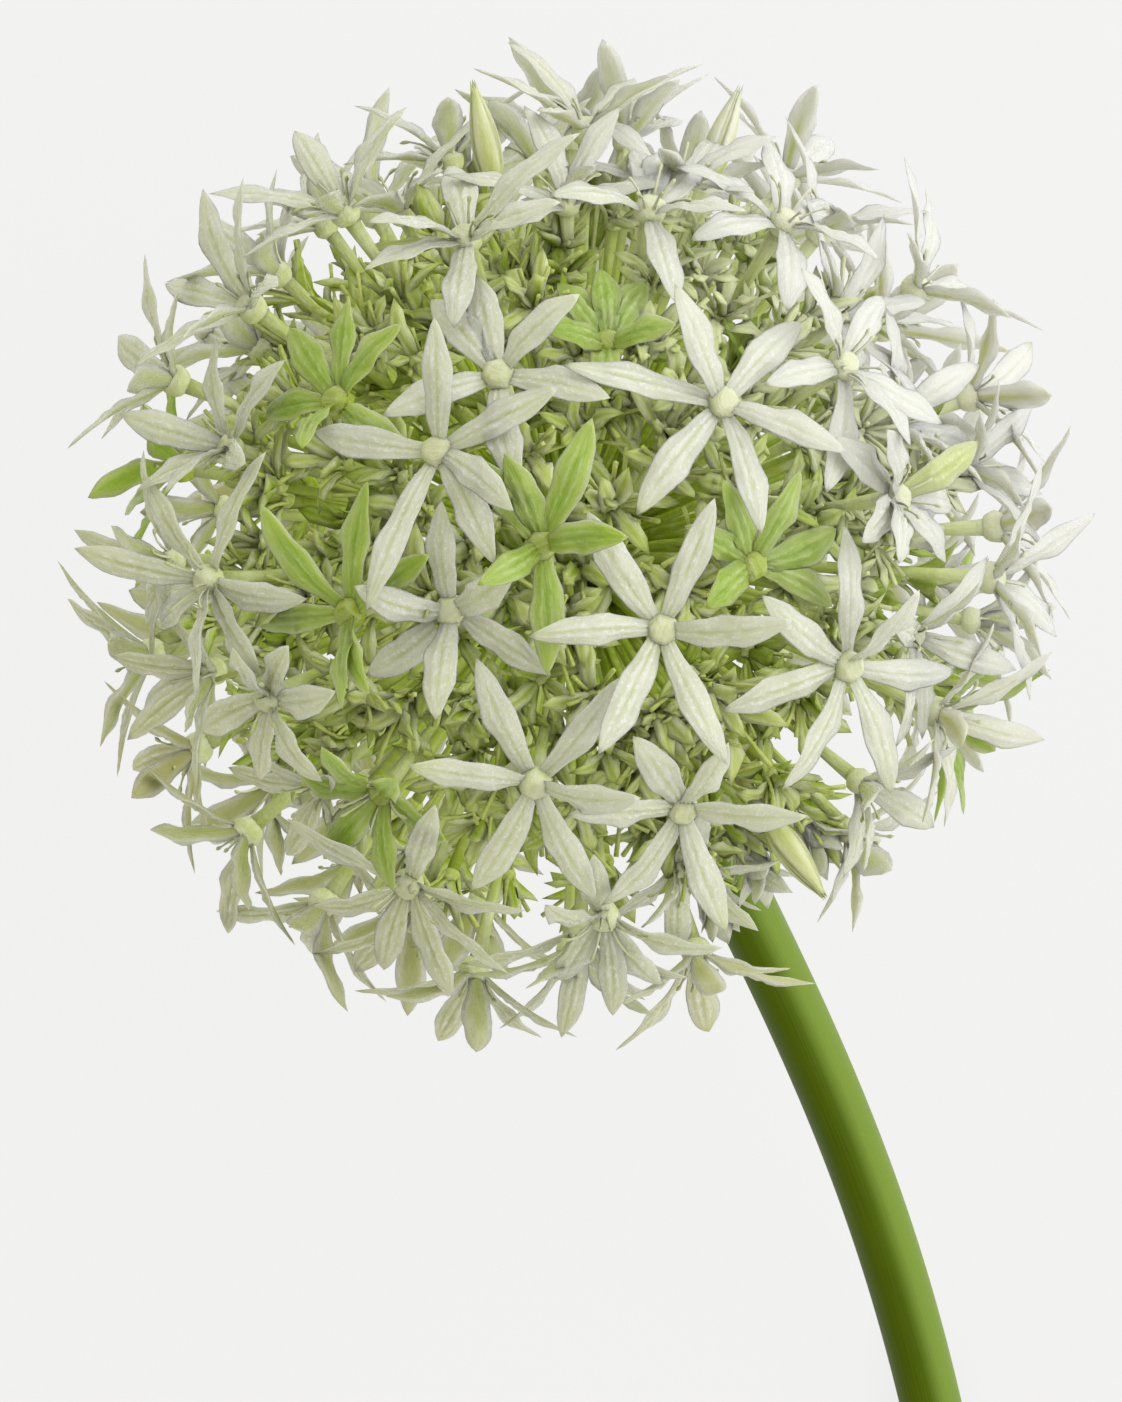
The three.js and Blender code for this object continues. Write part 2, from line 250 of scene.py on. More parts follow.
def makeStage(look):
    scene = bpy.context.scene
    scene.view_settings.view_transform = "Standard"
    half = look["floorSide"] / 2
    mesh = bpy.data.meshes.new("floor")
    corners = [(-half, -half, 0), (half, -half, 0), (half, half, 0), (-half, half, 0)]
    mesh.from_pydata(corners, [], [(0, 1, 2, 3)])
    floor = bpy.data.objects.new("floor", mesh)
    scene.collection.objects.link(floor)
    material = bpy.data.materials.new("palePaper")
    material.use_nodes = True
    shader = material.node_tree.nodes["Principled BSDF"]
    shader.inputs["Base Color"].default_value = look["floorColour"]
    shader.inputs["Roughness"].default_value = 0.9
    shader.inputs["Emission Color"].default_value = (1, 1, 1, 1)
    shader.inputs["Emission Strength"].default_value = look["floorGlow"]
    mesh.materials.append(material)
    floor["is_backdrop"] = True
    world = bpy.data.worlds.new("studio")
    world.use_nodes = True
    add, mix, sums, between = nodeTools(world)
    sky = world.node_tree.nodes["Background"]
    # the light's strength and colour change evenly from one side of the room to the other
    bright = unit(np.array(look["brightSide"]))
    direction = add("ShaderNodeTexCoord").outputs["Generated"]
    toWindow = add("ShaderNodeVectorMath", {0: direction, 1: tuple(bright)}, operation="DOT_PRODUCT")
    share = between(toWindow.outputs["Value"], *look["worldSpan"], 0.0, 1.0)
    colour = mix(share, look["roomColour"], look["windowColour"])
    strength = between(share, 0.0, 1.0, *look["worldStrength"])
    # behind the floor's edge there is the same pale paper, which gives no light
    seen = add("ShaderNodeLightPath").outputs["Is Camera Ray"]
    world.node_tree.links.new(mix(seen, colour, look["backdropColour"]), sky.inputs["Color"])
    world.node_tree.links.new(between(seen, 0.0, 1.0, strength, 1.0), sky.inputs["Strength"])
    scene.world = world
    # after its first bounce, light inside the ball only counts what stands this near, as in thin flesh
    scene.cycles.use_fast_gi = True
    scene.cycles.fast_gi_method = "REPLACE"
    scene.cycles.ao_bounces_render = 1
    world.light_settings.distance = look["shadeReach"] * mm
    makeLamp(look)


makeCamera(stageLook)
makeStage(stageLook)


# Turning point grids into pieces
def shellFaces(rows, around):
    # the corners of one closed shell's faces: fans at both poles, and four-sided faces between
    # the rows. Point 0 is the first pole, then come the rows, and the last point is the other pole
    ring = np.arange(rows * around).reshape(rows, around) + 1
    turned = np.roll(ring, -1, axis=1)
    quads = np.stack([ring[:-1], turned[:-1], turned[1:], ring[1:]], axis=-1).reshape(-1, 4)
    last = rows * around + 1
    first = np.stack([turned[0], ring[0], np.zeros(around, int)], axis=-1)
    final = np.stack([ring[-1], turned[-1], np.full(around, last)], axis=-1)
    return quads, np.vstack([first, final])


def makeShells(rings, starts, ends, spot, tone):
    # rings are (shells, rows, around, 3) points, starts and ends are the poles. spot is where a point lies
    # on its shell, across and along, and tone is how green it is and how much painted highlight it carries
    count, rows, around = rings.shape[:3]
    points = np.concatenate([starts[:, None], rings.reshape(count, -1, 3), ends[:, None]], axis=1)
    spot = np.broadcast_to(spot, (count, rows, around, 3)).reshape(count, -1, 3)
    tone = np.broadcast_to(tone, (count, rows, around, 4)).reshape(count, -1, 4)
    poleSpot = [spot[:, :around].mean(axis=1), spot[:, -around:].mean(axis=1)]
    poleTone = [tone[:, :around].mean(axis=1), tone[:, -around:].mean(axis=1)]
    spot = np.concatenate([poleSpot[0][:, None], spot, poleSpot[1][:, None]], axis=1)
    tone = np.concatenate([poleTone[0][:, None], tone, poleTone[1][:, None]], axis=1)
    quads, fans = shellFaces(rows, around)
    shift = (np.arange(count) * points.shape[1])[:, None, None]
    return {
        "points": points.reshape(-1, 3),
        "quads": (quads[None] + shift).reshape(-1, 4),
        "fans": (fans[None] + shift).reshape(-1, 3),
        "spot": spot.reshape(-1, 3),
        "tone": tone.reshape(-1, 4),
    }


def addPiece(name, shells, material, standsFor=()):
    # one mesh object from several sets of shells, with its place in its mesh
    points = np.vstack([s["points"] for s in shells])
    points[:, 2] = np.maximum(points[:, 2], floorGap)
    shifts = np.cumsum([0] + [len(s["points"]) for s in shells[:-1]])
    quads = np.vstack([s["quads"] + shift for s, shift in zip(shells, shifts)])
    fans = np.vstack([s["fans"] + shift for s, shift in zip(shells, shifts)])
    order = np.concatenate([quads.ravel(), fans.ravel()])
    firsts = np.concatenate([np.arange(len(quads)) * 4, len(quads) * 4 + np.arange(len(fans)) * 3])
    mesh = bpy.data.meshes.new(name)
    mesh.vertices.add(len(points))
    mesh.vertices.foreach_set("co", (points * mm).ravel())
    mesh.loops.add(len(order))
    mesh.loops.foreach_set("vertex_index", order)
    mesh.polygons.add(len(firsts))
    mesh.polygons.foreach_set("loop_start", firsts)
    mesh.update(calc_edges=True)
    mesh.shade_smooth()
    spot = mesh.attributes.new("spot", "FLOAT_VECTOR", "POINT")
    spot.data.foreach_set("vector", np.vstack([s["spot"] for s in shells]).ravel())
    tone = mesh.attributes.new("tone", "FLOAT_COLOR", "POINT")
    tone.data.foreach_set("color", np.vstack([s["tone"] for s in shells]).ravel())
    mesh.materials.append(material)
    piece = bpy.data.objects.new(name, mesh)
    bpy.context.scene.collection.objects.link(piece)
    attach(piece, "root")
    if standsFor:
        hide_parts(*standsFor)
    return piece


def toneOf(green, paintedHighlight, chance):
    # one colour per point: how green, how much painted highlight it carries (on the stem, how much painted
    # light), and a number that differs from shell to shell
    green, paintedHighlight, chance = np.broadcast_arrays(green, paintedHighlight, chance)
    return np.stack([green, paintedHighlight, chance, np.ones_like(green)], axis=-1)


def spotOf(across, along, chance):
    return np.stack(np.broadcast_arrays(across, along, chance), axis=-1)


# Finishes
petalFinish = {
    "cloudSize": 1.6,  # pale and dull clouds for each width of a petal
    "streaks": 5.0,  # how much finer the pattern is across than along
    "bumpsAndGlints": (4.5, 30.0, 60.0),  # how fine the bumps, and the white painted glints on them, are across, along and from petal to petal
    "glintEdge": (0.56, 0.68),  # a painted glint starts and is full at these values of its noise
    "glintColour": (0.97, 0.97, 0.93, 1),
    "glintShare": 0.7,
    "highlightPaint": (0.93, 0.94, 0.89, 1),  # painted highlight: the ridges are a mix of this and pale flesh
    "bumpDepth": 0.36,  # millimetres
    "bumpStrength": 0.45,
    "shadedSide": (-0.60, -0.60, -0.53),  # painted shade: florets on this side of the ball, away from the light, are painted duller
    "shadedSpan": (-5, 42),  # millimetres from the ball's middle to where that starts, and is complete
    "shadeTint": (0.64, 0.62, 0.45, 1),
    "paintedShade": 1.0,
    "glintsLostInShade": 0.75,  # share of the white painted glints that the most shaded petals lose
    "litSide": (0.86, 0.51, 0.0),  # painted light: petals on this side, towards the window, are painted whitest
    "litSpan": (12, 46),
    "paintedLightColour": (0.97, 0.97, 0.94, 1),
    "paintedLightShare": 0.75,
    "shine": 0.75,
    "glow": 0.5,  # how much light passes into the flesh
    "glowDepth": 2.0,  # and how deep, in millimetres
}


def petalMaterial(name, colours, roughness, look=petalFinish):
    # the colours are those of pale, dull, green and deep green flesh
    pale, dull, green, deepGreen = ((*colour, 1) for colour in colours)
    material = bpy.data.materials.new(name)
    material.use_nodes = True
    add, mix, sums, between = nodeTools(material)
    shader = material.node_tree.nodes["Principled BSDF"]
    spot = add("ShaderNodeAttribute", attribute_name="spot").outputs["Vector"]
    tone = add("ShaderNodeAttribute", attribute_name="tone").outputs["Color"]
    split = add("ShaderNodeSeparateColor", {"Color": tone})
    greenness, paintedHighlight, chance = split.outputs

    # each petal reads its own part of the noise: its place on the petal plus its own number
    def noise(stretch, scale, detail, roughness=0.5):
        place = add("ShaderNodeVectorMath", {0: spot, 1: stretch}, operation="MULTIPLY").outputs[0]
        settings = {"Vector": place, "Scale": scale, "Detail": detail, "Roughness": roughness}
        return add("ShaderNodeTexNoise", settings).outputs[0]

    clouds = noise((1.0, 2.6, 60.0), look["cloudSize"], 3.0)
    streaks = noise((look["streaks"], 5.0, 60.0), 1.7, 4.0, 0.6)
    bumpsAndGlints = noise(look["bumpsAndGlints"], 1.0, 1.0)
    # colour: pale and dull clouds, then green where the flesh is young, then painted light: white by a
    # share that grows evenly towards the ball's window side, then painted shade: a dull tint that grows
    # evenly towards its shaded side, then a painted highlight: a broken pale line on each ridge and along
    # the rim, and small white painted glints, most of them on the ridges
    highlightPaint = tuple(0.4 * a + 0.6 * b for a, b in zip(pale, look["highlightPaint"]))
    cloudy = mix(between(clouds, 0.35, 0.68, 0.0, 1.0), dull, pale)
    greens = mix(between(streaks, 0.35, 0.7, 0.0, 1.0), deepGreen, green)
    unevenGreen = sums("MULTIPLY", greenness, between(clouds, 0.3, 0.7, 1.25, 0.75))
    colour = mix(between(unevenGreen, 0.0, 1.0, 0.0, 1.0), cloudy, greens)
    whiteness = between(greenness, 0.3, 0.7, 1.0, 0.15)
    share = look["glintShare"]
    place = add("ShaderNodeTexCoord").outputs["Object"]
    fromHeart = add("ShaderNodeVectorMath", {0: place, 1: tuple(heart * mm)}, operation="SUBTRACT")

    def towards(side):
        inputs = {0: fromHeart.outputs[0], 1: tuple(unit(np.array(side)))}
        return add("ShaderNodeVectorMath", inputs, operation="DOT_PRODUCT").outputs["Value"]

    # painted light: towards the window side the colour is mixed evenly to white
    start, full = look["litSpan"]
    youngGreenAndPaintedLight = between(towards(look["litSide"]), start * mm, full * mm, 0.0, look["paintedLightShare"])
    colour = mix(sums("MULTIPLY", youngGreenAndPaintedLight, whiteness), colour, look["paintedLightColour"])
    # painted shade: towards the shaded side the colour is tinted duller, and fewer painted glints remain
    if look["paintedShade"]:
        start, full = look["shadedSpan"]
        shadeShare = between(towards(look["shadedSide"]), start * mm, full * mm, 0.0, look["paintedShade"])
        share = sums("SUBTRACT", share, sums("MULTIPLY", shadeShare, look["glintsLostInShade"] * look["glintShare"]))
        tint = mix(shadeShare, (1, 1, 1, 1), look["shadeTint"])
        colour = add("ShaderNodeVectorMath", {0: colour, 1: tint}, operation="MULTIPLY").outputs[0]
    # painted highlight: a broken pale line on the ridges and along the rim, then small white painted
    # glints
    broken = sums("MULTIPLY", between(streaks, 0.38, 0.62, 0.35, 1.0), whiteness)
    ridged = mix(sums("MULTIPLY", paintedHighlight, broken), colour, highlightPaint)
    # painted glints: small white spots where the noise is high, most of them on the ridges
    glinted = sums("MULTIPLY", between(bumpsAndGlints, *look["glintEdge"], 0.0, 1.0), share)
    glinted = sums("MULTIPLY", glinted, between(paintedHighlight, 0.0, 0.5, 0.2, 1.0))
    glinted = sums("MULTIPLY", glinted, between(greenness, 0.3, 0.7, 1.0, 0.3))
    withGlints = mix(glinted, ridged, look["glintColour"])
    material.node_tree.links.new(withGlints, shader.inputs["Base Color"])
    rough = between(streaks, 0.3, 0.75, roughness + 0.12, roughness - 0.1)
    material.node_tree.links.new(rough, shader.inputs["Roughness"])
    # height: the clouds, with about a third of the streaks and of the beads on them
    fine = sums("ADD", sums("MULTIPLY", streaks, 0.35), sums("MULTIPLY", bumpsAndGlints, 0.35))
    settings = {"Height": sums("ADD", clouds, fine), "Distance": look["bumpDepth"] * mm}
    bump = add("ShaderNodeBump", dict(settings, Strength=look["bumpStrength"]))
    material.node_tree.links.new(bump.outputs[0], shader.inputs["Normal"])
    shader.inputs["IOR"].default_value = 1.42
    shader.inputs["Specular IOR Level"].default_value = look["shine"]
    if look["glow"]:
        shader.inputs["Subsurface Weight"].default_value = look["glow"]
        shader.inputs["Subsurface Radius"].default_value = (1.0, 1.0, 0.7)
        shader.inputs["Subsurface Scale"].default_value = look["glowDepth"] * mm
    return material


whitePetal = petalMaterial(
    "whitePetal", ((0.75, 0.78, 0.62), (0.62, 0.67, 0.46), (0.60, 0.69, 0.24), (0.46, 0.57, 0.10)), 0.26
)
creamPetal = petalMaterial(
    "creamPetal", ((0.75, 0.77, 0.58), (0.63, 0.66, 0.41), (0.66, 0.69, 0.34), (0.56, 0.60, 0.22)), 0.36
)
greenPetal = petalMaterial(
    "greenPetal", ((0.56, 0.67, 0.24), (0.44, 0.58, 0.12), (0.33, 0.50, 0.045), (0.23, 0.38, 0.012)), 0.32,
    dict(petalFinish, paintedShade=0.4, glintShare=0.25, glintColour=(0.86, 0.90, 0.70, 1))
)
# light doesn't pass into the flesh of buds, whose petals lie in one another, nor of the inner florets
budPetal = petalMaterial(
    "budPetal", ((0.86, 0.88, 0.60), (0.80, 0.82, 0.46), (0.60, 0.68, 0.15), (0.49, 0.58, 0.08)), 0.36,
    dict(petalFinish, glow=0.0, paintedShade=0.3, glintShare=0.3)
)
# the inner florets get a stronger painted light towards the window side
innerFinish = dict(
    petalFinish, glow=0.0, shine=0.12, paintedShade=0, glintShare=0.15, glintColour=(0.88, 0.92, 0.55, 1),
    paintedLightColour=(0.93, 0.95, 0.72, 1), paintedLightShare=0.9
)
innerFlesh = petalMaterial(
    "innerFlesh", ((0.68, 0.76, 0.27), (0.55, 0.65, 0.12), (0.36, 0.50, 0.022), (0.24, 0.37, 0.004)), 0.42,
    innerFinish
)
heartFlesh = petalMaterial(
    "heartFlesh", ((0.90, 0.92, 0.66), (0.80, 0.85, 0.46), (0.48, 0.60, 0.08), (0.34, 0.46, 0.018)), 0.38,
    dict(innerFinish, bumpDepth=0.64, shine=0.35)
)


# Open petals
petalLook = {
    "rows": 15,
    "upper": (-1, -0.88, -0.52, -0.28, 0, 0.28, 0.52, 0.88, 1),  # points across the upper face
    "under": (0.55, 0, -0.55),
    "width": 3.45,
    "widest": 0.57,  # share of the length
    "foot": 0.36,  # width at the hub, as a share of the widest
    "thickness": 0.42,
    "bow": 0.9,
    "ridge": 0.3,  # height of the two ridges beside the furrow
    "ridgePlace": 0.28,
    "ridgeWidth": 0.15,
    "furrowWidth": 0.2,
    "rim": 0.26,  # how far the edges turn up
    "ruffle": 0.34,
    "hook": 0.5,
    "sway": 1.3,  # from the furthest left to the furthest right that its middle may lie
    "twist": 0.9,  # the same for its turn from foot to tip, in radians
    "waves": 0.09,
    "blunt": 0.82,  # power of the outline: a low one makes round ends
}


def petalShells(hub, axis, tips, look, greenness):
    # Each petal runs from its hub to its tip. Along it the half width is a sine of the length
    # raised to a power, so that it is widest past the middle, over a narrow foot. Across it the
    # upper face has two bell-shaped ridges beside a furrow and edges that turn up; the lower face
    # is a flat bow. The middle line stands out of the straight one by 4 t (1 - t) times the bow.
    count = len(tips)
    chance = rng.random((count, 12))[:, :, None, None]
    reach = tips - hub
    length = np.linalg.norm(reach, axis=1)[:, None, None]
    along = unit(reach)
    side = unit(np.cross(along, axis))
    face = np.cross(side, along)
    t = np.linspace(0, 1, look["rows"] + 2)[1:-1][None, :, None]
    u = np.array(look["upper"] + look["under"], float)[None, None, :]
    top = np.array([1.0] * len(look["upper"]) + [0.0] * len(look["under"]))[None, None, :]
    leftRight = np.where(u > 0, chance[:, 0], chance[:, 1])

    def wave(turns, start):
        return np.sin(2 * np.pi * (t * turns + start))

    power = math.log(0.5) / math.log(look["widest"])
    foot = look["foot"] * (1 - t) ** 2
    outline = foot + (1 - foot) * np.sin(np.pi * t**power) ** look["blunt"]
    wavy = 0.7 * wave(2.6, leftRight) + 0.35 * wave(4.3, leftRight * 7)
    outline = outline * (1 + look["waves"] * wavy * np.sin(np.pi * t))
    half = look["width"] / 2 * (0.9 + 0.2 * chance[:, 2]) * outline
    fade = np.clip(t / 0.12, 0, 1) * np.clip((0.95 - t) / 0.3, 0, 1)
    thin = look["thickness"] / 2 * (0.5 + 0.5 * np.sin(np.pi * t**0.8))
    ridge = top * np.exp(-(((np.abs(u) - look["ridgePlace"]) / look["ridgeWidth"]) ** 2)) * fade
    bumpy = 1 + 0.5 * wave(6.1, leftRight + 0.3)
    plate = np.where(top > 0, thin * (1 - np.abs(u) ** 3), -thin * (1.3 - np.abs(u)))
    height = plate + look["ridge"] * ridge * bumpy * half / (look["width"] / 2)
    height = height + look["rim"] * np.abs(u) ** 2.2 * half / (look["width"] / 2)
    height = height + look["ruffle"] * np.abs(u) ** 1.5 * wave(2.3, leftRight) * np.sin(np.pi * t)
    lift = look["bow"] * 4 * t * (1 - t) + look["hook"] * (chance[:, 3] - 0.35) * t**5
    sway = (chance[:, 4] - 0.5) * look["sway"] * 4 * t * (1 - t)
    twist = (chance[:, 5] - 0.5) * look["twist"] * (t - 0.3)
    x = u * half * np.cos(twist) - height * np.sin(twist) + sway
    z = u * half * np.sin(twist) + height * np.cos(twist) + lift
    place = hub[:, None, None] + (t * length)[..., None] * along[:, None, None]
    rings = place + x[..., None] * side[:, None, None] + z[..., None] * face[:, None, None]
    starts = hub + 0.2 * along
    ends = tips + (look["hook"] * (chance[:, 3, 0] - 0.35)) * face
    furrow = np.exp(-((u / look["furrowWidth"]) ** 2)) * fade
    youngGreenAndPaintedLight = greenness["foot"] * np.exp(-t / 0.16) + greenness["furrow"] * furrow
    youngGreenAndPaintedLight = youngGreenAndPaintedLight + greenness["tip"] * t**8 * chance[:, 6]
    # the outer face has a broad green stripe that fades past the middle
    youngGreenAndPaintedLight = youngGreenAndPaintedLight + (1 - top) * 0.6 * np.exp(-((u / 0.35) ** 2)) * np.clip(1.2 - 1.5 * t, 0, 1)
    patch = np.clip(wave(0.8, chance[:, 7]) - 0.35, 0, 1) * greenness["patch"] * (chance[:, 8] > 0.45)
    youngGreenAndPaintedLight = youngGreenAndPaintedLight + (1 - top) * greenness.get("under", 0)
    green = np.clip(greenness["all"] + youngGreenAndPaintedLight + patch - 0.3 * ridge * (1 - greenness["all"]), 0, 1)
    # painted highlight: the ridges and the edges of the upper face are marked for a pale painted line
    bright = ridge * bumpy + 0.9 * top * np.abs(u) ** 6 * np.sin(np.pi * t)
    spot = spotOf(u, t, chance[:, 9])
    return makeShells(rings, starts, ends, spot, toneOf(green, np.clip(bright, 0, 1), chance[:, 10]))


# Closed florets
budLook = {
    "rows": 9,
    "upper": (-1, -0.6, 0, 0.6, 1),
    "under": (0.5, -0.5),
    "radius": 1.38,
    "length": 12,
    "thickness": 0.4,
    "spread": 62,  # degrees that half of a petal covers
}


def budShells(hub, axis, look):
    # Six petals on a spindle whose radius is a sine of the height: each is a strip of it, and
    # every second one lies a little further in
    count = 6
    chance = rng.random((count, 3))[:, :, None, None]
    turn = (np.arange(count) * math.pi / 3 + rng.random() * 3)[:, None, None]
    inner = (np.arange(count) % 2)[:, None, None]
    t = np.linspace(0, 1, look["rows"] + 2)[1:-1][None, :, None]
    u = np.array(look["upper"] + look["under"], float)[None, None, :]
    top = np.array([1.0] * len(look["upper"]) + [-1.0] * len(look["under"]))[None, None, :]
    across, other = acrossOf(axis)
    angle = turn + u * math.radians(look["spread"]) * (1 - 0.25 * t)
    spindle = np.sin(np.pi * t**0.8) ** 0.8
    radius = look["radius"] * (0.96 - 0.09 * inner) * spindle + 0.04 * np.abs(u) ** 3 + 0.25 * (1 - t)
    radius = radius + top * look["thickness"] / 2 * (1 - 0.45 * np.abs(u)) * (1 - 0.6 * t)
    radius = radius + 0.14 * np.exp(-((u / 0.25) ** 2)) * spindle
    height = look["length"] * t * (1 - 0.05 * chance[:, 0]) - 0.3
    outward = np.cos(angle)[..., None] * across + np.sin(angle)[..., None] * other
    rings = hub + radius[..., None] * outward + height[..., None] * axis
    middle = hub + 0.25 * (np.cos(turn[:, 0]) * across + np.sin(turn[:, 0]) * other)
    starts = middle - 0.3 * axis
    ends = middle + (look["length"] * (1 - 0.05 * chance[:, 0, 0])) * axis
    # a green stripe along each middle line fades towards the tip, and the base is green all round
    stripe = np.exp(-((u / 0.42) ** 2)) * (1 - t) ** 0.6
    green = np.clip(0.05 + 0.75 * stripe + 0.6 * np.exp(-t / 0.25) + 0.7 * t**7, 0, 1)
    spot = spotOf(u, t, chance[:, 1])
    # the edges of each petal carry a faint painted highlight
    return makeShells(rings, starts, ends, spot, toneOf(green, 0.2 * np.abs(u) ** 3, chance[:, 2]))


# Ovary, stamens and stalk
heartLook = {
    "ovaryRadius": 1.75,
    "ovaryGrid": (7, 12),  # rings from its foot to its top, and points around it
    "stalkRadius": 0.56,
    "stalkGrid": (8, 8),  # rings along a stalk, and points around it
    "stamenLength": 4.4,
    "stamenRadius": 0.15,
    "stamensFrom": 45,  # degrees from straight up: the florets nearer the top haven't put them out
}


def ovaryShells(hubs, axes, radius, young=0.0):
    # A knob with three wide lobes, each parted in two: a ball whose radius swells with the cosines
    # of three and six times the angle around plus a small random part, and whose top sinks in a
    # bell-shaped dimple
    count = len(hubs)
    rows, around = heartLook["ovaryGrid"]
    a = np.linspace(math.pi, 0, rows + 2)[1:-1][None, :, None]
    theta = (np.arange(around) * 2 * math.pi / around)[None, None, :]
    upper = a < 1.5
    across, other = acrossOf(axes)
    lobes = 0.045 * np.cos(6 * theta) + 0.07 * np.cos(3 * theta) * np.cos(a)
    lobes = lobes + 0.12 * (rng.random((count, rows, around)) - 0.5)
    wide = radius * np.sin(a) ** 0.92 * (1 + lobes * np.sin(a))
    dimple = np.exp(-((wide / (0.3 * radius)) ** 2)) * upper
    high = 0.25 * radius + 0.95 * radius * np.cos(a) - 0.2 * radius * dimple
    turned = np.sin(theta)[..., None] * other[:, None, None]
    outward = np.cos(theta)[..., None] * across[:, None, None] + turned
    rings = hubs[:, None, None] + wide[..., None] * outward + high[..., None] * axes[:, None, None]
    green = 0.06 + young + 0.3 * ~upper - 0.1 * dimple
    spot = spotOf(np.cos(theta), a / math.pi, rng.random((count, 1, 1)))
    # the tops of the upper lobes carry a painted highlight
    tone = toneOf(green, 0.5 * (np.cos(6 * theta) > 0.5) * upper, rng.random((count, 1, 1)))
    starts = hubs - 0.7 * radius * axes
    ends = hubs + 0.94 * radius * axes
    return makeShells(rings, starts, ends, spot, tone)


def tubeShells(centres, radii, side, around, green):
    # A round section carried along each line: its plane stands square to the line's direction
    tangent = unit(np.gradient(centres, axis=1))
    other = unit(np.cross(tangent, side[:, None]))
    theta = (np.arange(around) * 2 * math.pi / around)[None, None, :, None]
    outward = np.cos(theta) * other[:, :, None] + np.sin(theta) * side[:, None, None]
    rings = centres[:, :, None] + radii[..., None, None] * outward
    along = np.linspace(0, 1, centres.shape[1])[None, :, None]
    chance = rng.random((len(centres), 1, 1))
    spot = spotOf(np.cos(theta[..., 0]), along * 3, chance)
    tone = toneOf(green[..., None], 0, chance)
    return makeShells(rings, centres[:, 0], centres[:, -1], spot, tone)


def stalkShells(feet, hubs, axes, look):
    # Straight from the receptacle to the hub with a slight bend, and a little wider at both ends
    rows, around = look["stalkGrid"]
    t = np.linspace(0, 1, rows)[None, :]
    side, other = acrossOf(axes)
    bend = 0.25 * np.sin(math.pi * t * 2)[..., None] * other[:, None]
    ends = hubs - 0.5 * axes
    centres = feet[:, None] + t[..., None] * (ends - feet)[:, None] + bend
    radii = look["stalkRadius"] * (1 + 0.35 * (1 - t) ** 8 + 0.75 * t**10)
    green = np.broadcast_to(0.95 - 0.45 * t**3, (len(feet), rows))
    return tubeShells(centres, np.broadcast_to(radii, (len(feet), rows)), side, around, green)


def stamenShells(hub, axis, look):
    # Six threads from around the ovary: each rises and leans out on a quarter of an ellipse, and
    # ends in a small swelling
    count = 6
    chance = rng.random((count, 4))
    turn = np.arange(count) * math.pi / 3 + chance[:, 0] * 0.7
    across, other = acrossOf(axis)
    outward = np.cos(turn)[:, None] * across + np.sin(turn)[:, None] * other
    side = np.cross(outward, axis)
    t = np.array([0, 0.2, 0.4, 0.6, 0.8, 0.88, 0.94, 1.0])[None, :]
    length = look["stamenLength"] * (0.75 + 0.4 * chance[:, 1:2])
    lean = 0.35 + 0.5 * chance[:, 2:3]
    out = 1.0 + length * lean * t**1.6
    rise = 0.4 + length * np.sqrt(1 - (lean * t) ** 2 * 0.9) * t
    centres = hub + out[..., None] * outward[:, None] + rise[..., None] * axis
    swelling = np.array([1.6, 1.3, 1.1, 0.9, 0.8, 1.5, 1.5, 0.4])[None, :]
    radii = np.broadcast_to(look["stamenRadius"] * swelling, (count, len(t[0])))
    green = np.broadcast_to(np.where(t > 0.85, 0.35, 0.0), radii.shape)
    return tubeShells(centres, radii, side, 5, green)


def many(vector, count):
    return np.broadcast_to(vector, (count, 3))


petalGreens = {
    "petal_white": {"all": 0.0, "foot": 0.35, "furrow": 0.24, "tip": 0.35, "patch": 0.3},
    "petal_cream": {"all": 0.06, "foot": 0.4, "furrow": 0.4, "tip": 0.9, "patch": 0.3},
    "petal_green": {"all": 0.68, "foot": 0.3, "furrow": 0.12, "tip": 0.3, "patch": 0.4},
}
greenBearings = {"floret_08": 33}  # a white floret with one green petal, and that petal's bearing
greenAlone = 0.8  # how green that petal is, and the ovary of a green floret
petalMaterials = {"petal_white": whitePetal, "petal_cream": creamPetal, "petal_green": greenPetal}

for f in florets:
    hub, axis, slot = f["hub"], f["axis"], f["slot"]
    if slot == "bud_green":
        addPiece(f["name"] + "_bud", [budShells(hub, axis, budLook)], budPetal, [f["name"]])
        heartParts = []
    else:
        count = len(f["tips"])
        greens = petalGreens[slot]
        if f["name"] in greenBearings:
            bearing = math.radians(greenBearings[f["name"]])
            facing = unit(f["tips"] - hub) @ [math.cos(bearing), math.sin(bearing), 0]
            every = np.where(facing == facing.max(), greenAlone, greens["all"])
            greens = dict(greens, all=every[:, None, None])
        petals = petalShells(many(hub, count), many(axis, count), f["tips"], petalLook, greens)
        addPiece(f["name"] + "_petals", [petals], petalMaterials[slot], [f["name"]])
        young = greenAlone if slot == "petal_green" else 0.0
        heartParts = [ovaryShells(hub[None], axis[None], heartLook["ovaryRadius"], young)]
        if math.degrees(math.acos(axis[2])) > heartLook["stamensFrom"]:
            heartParts.append(stamenShells(hub, axis, heartLook))
    stalk = stalkShells(f["foot"][None], hub[None], axis[None], heartLook)
    addPiece(f["name"] + "_heart", heartParts + [stalk], heartFlesh)
print("florets built")

